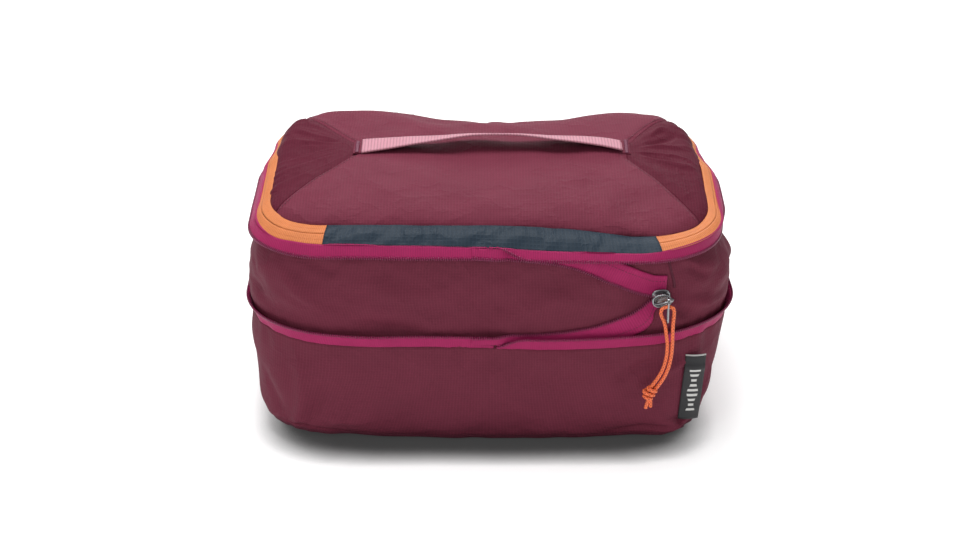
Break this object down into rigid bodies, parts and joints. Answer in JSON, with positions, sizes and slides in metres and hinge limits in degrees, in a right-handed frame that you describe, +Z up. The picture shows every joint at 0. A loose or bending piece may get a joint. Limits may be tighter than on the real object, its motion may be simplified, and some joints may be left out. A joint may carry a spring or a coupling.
{
  "type": "packing cube",
  "caption": "Soft rectangular packing cube with a zip-open lid, a grab handle and a gusset that a perimeter zip compresses.",
  "frame": {"origin": "middle of the base, on the surface that it rests on", "axes": "+Z up, +X to the right along the long side, -Y to the front, where the lid hinges and the compression slider is parked"},
  "size_m": [0.35, 0.2455, 0.1944],
  "materials": {
    "burgundy_nylon": "fine ripstop nylon with a soft coated sheen",
    "magenta_tape": "woven polyester zip tape",
    "magenta_teeth": "fine moulded coil teeth",
    "orange_tape": "knitted reverse-coil zip tape, slightly glossy",
    "orange_teeth": "fine moulded coil teeth",
    "slate_nylon": "ripstop nylon",
    "pink_webbing": "ribbed flat webbing",
    "magenta_thread": "dense bartack stitches",
    "gunmetal": "die-cast zinc with a dark polished plating",
    "orange_cord": "round braided cord",
    "black_woven_label": "tightly woven satin label"
  },
  "bodies": {
    "tub": {"base_panel": "burgundy_nylon", "base_seam_binding": "burgundy_nylon", "lower_front_panel": "burgundy_nylon", "lower_back_panel": "burgundy_nylon", "lower_left_panel": "burgundy_nylon", "lower_right_panel": "burgundy_nylon", "lower_seam_binding": "burgundy_nylon", "side_label": "black_woven_label", "compression_lower_tape": "magenta_tape", "compression_lower_coil": "magenta_teeth", "gusset_front_panel": "burgundy_nylon", "gusset_back_panel": "burgundy_nylon", "gusset_left_panel": "burgundy_nylon", "gusset_right_panel": "burgundy_nylon"},
    "gusset_mid": {"ribbon_upper": "magenta_tape", "ribbon_lower": "magenta_tape", "zip_end_tab": "magenta_tape"},
    "rim": {"rim_binding": "burgundy_nylon", "compression_upper_tape": "magenta_tape", "compression_upper_coil": "magenta_teeth", "main_zip_lower_tape": "orange_tape", "main_zip_lower_coil": "orange_teeth"},
    "lid": {"lid_centre_panel": "burgundy_nylon", "lid_left_panel": "burgundy_nylon", "lid_right_panel": "burgundy_nylon", "hinge_panel": "slate_nylon", "main_zip_upper_tape": "orange_tape", "main_zip_upper_coil": "orange_teeth", "handle_anchor_left": "pink_webbing", "handle_anchor_right": "pink_webbing", "handle_bartack_left": "magenta_thread", "handle_bartack_right": "magenta_thread"},
    "handle": {"handle_strap": "pink_webbing"},
    "compression_slider": {"compression_slider_body": "gunmetal"},
    "compression_tab": {"compression_tab": "gunmetal"},
    "compression_cord": {"cord_strand_left": "orange_cord", "cord_strand_right": "orange_cord", "cord_knot": "orange_cord"},
    "main_slider_left": {"main_slider_left_body": "gunmetal"},
    "main_tab_left": {"main_tab_left": "gunmetal"},
    "main_slider_right": {"main_slider_right_body": "gunmetal"},
    "main_tab_right": {"main_tab_right": "gunmetal"}
  },
  "joints": [
    {"name": "compress", "type": "slide", "parent": "tub", "child": "gusset_mid", "axis": [0, 0, -1], "range_m": [0, 0.0275], "deforming": ["gusset_front_panel", "gusset_back_panel", "gusset_left_panel", "gusset_right_panel", "ribbon_lower"]},
    {"name": "compress_upper", "type": "slide", "parent": "gusset_mid", "child": "rim", "axis": [0, 0, -1], "range_m": [0, 0.0275], "deforming": ["ribbon_upper"]},
    {"name": "compression_slider_run", "type": "slide", "parent": "gusset_mid", "child": "compression_slider", "axis": [-1, 0, 0], "range_m": [0, 0.229]},
    {"name": "compression_tab_swing", "type": "hinge", "parent": "compression_slider", "child": "compression_tab", "pos_m": [0.1237, -0.124, 0.1243], "axis": [-1, 0, 0], "range_deg": [0, 75]},
    {"name": "compression_cord_swing", "type": "hinge", "parent": "compression_tab", "child": "compression_cord", "pos_m": [0.1237, -0.124, 0.1209], "axis": [-1, 0, 0], "range_deg": [0, 30]},
    {"name": "lid_open", "type": "hinge", "parent": "rim", "child": "lid", "pos_m": [0, -0.1099, 0.1623], "axis": [1, 0, 0], "range_deg": [0, 150]},
    {"name": "handle_tilt", "type": "hinge", "parent": "lid", "child": "handle", "pos_m": [0.002, 0, 0.188], "axis": [1, 0, 0], "range_deg": [-20, 20]},
    {"name": "main_slider_left_run", "type": "slide", "parent": "lid", "child": "main_slider_left", "axis": [-1, 0, 0], "range_m": [0, 0.009]},
    {"name": "main_slider_right_run", "type": "slide", "parent": "lid", "child": "main_slider_right", "axis": [1, 0, 0], "range_m": [0, 0.174]},
    {"name": "main_tab_left_flip", "type": "hinge", "parent": "main_slider_left", "child": "main_tab_left", "pos_m": [-0.097, 0.10393, 0.16822], "axis": [0, 0.87, -0.493], "range_deg": [0, 150]},
    {"name": "main_tab_right_flip", "type": "hinge", "parent": "main_slider_right", "child": "main_tab_right", "pos_m": [-0.075, 0.10393, 0.16822], "axis": [0, -0.87, 0.493], "range_deg": [0, 150]}
  ],
  "couplings": [
    {"joint": "compress_upper", "follows": "compress", "ratio": 1},
    {"joint": "compression_slider_run", "follows": "compress", "ratio": 8.32}
  ]
}
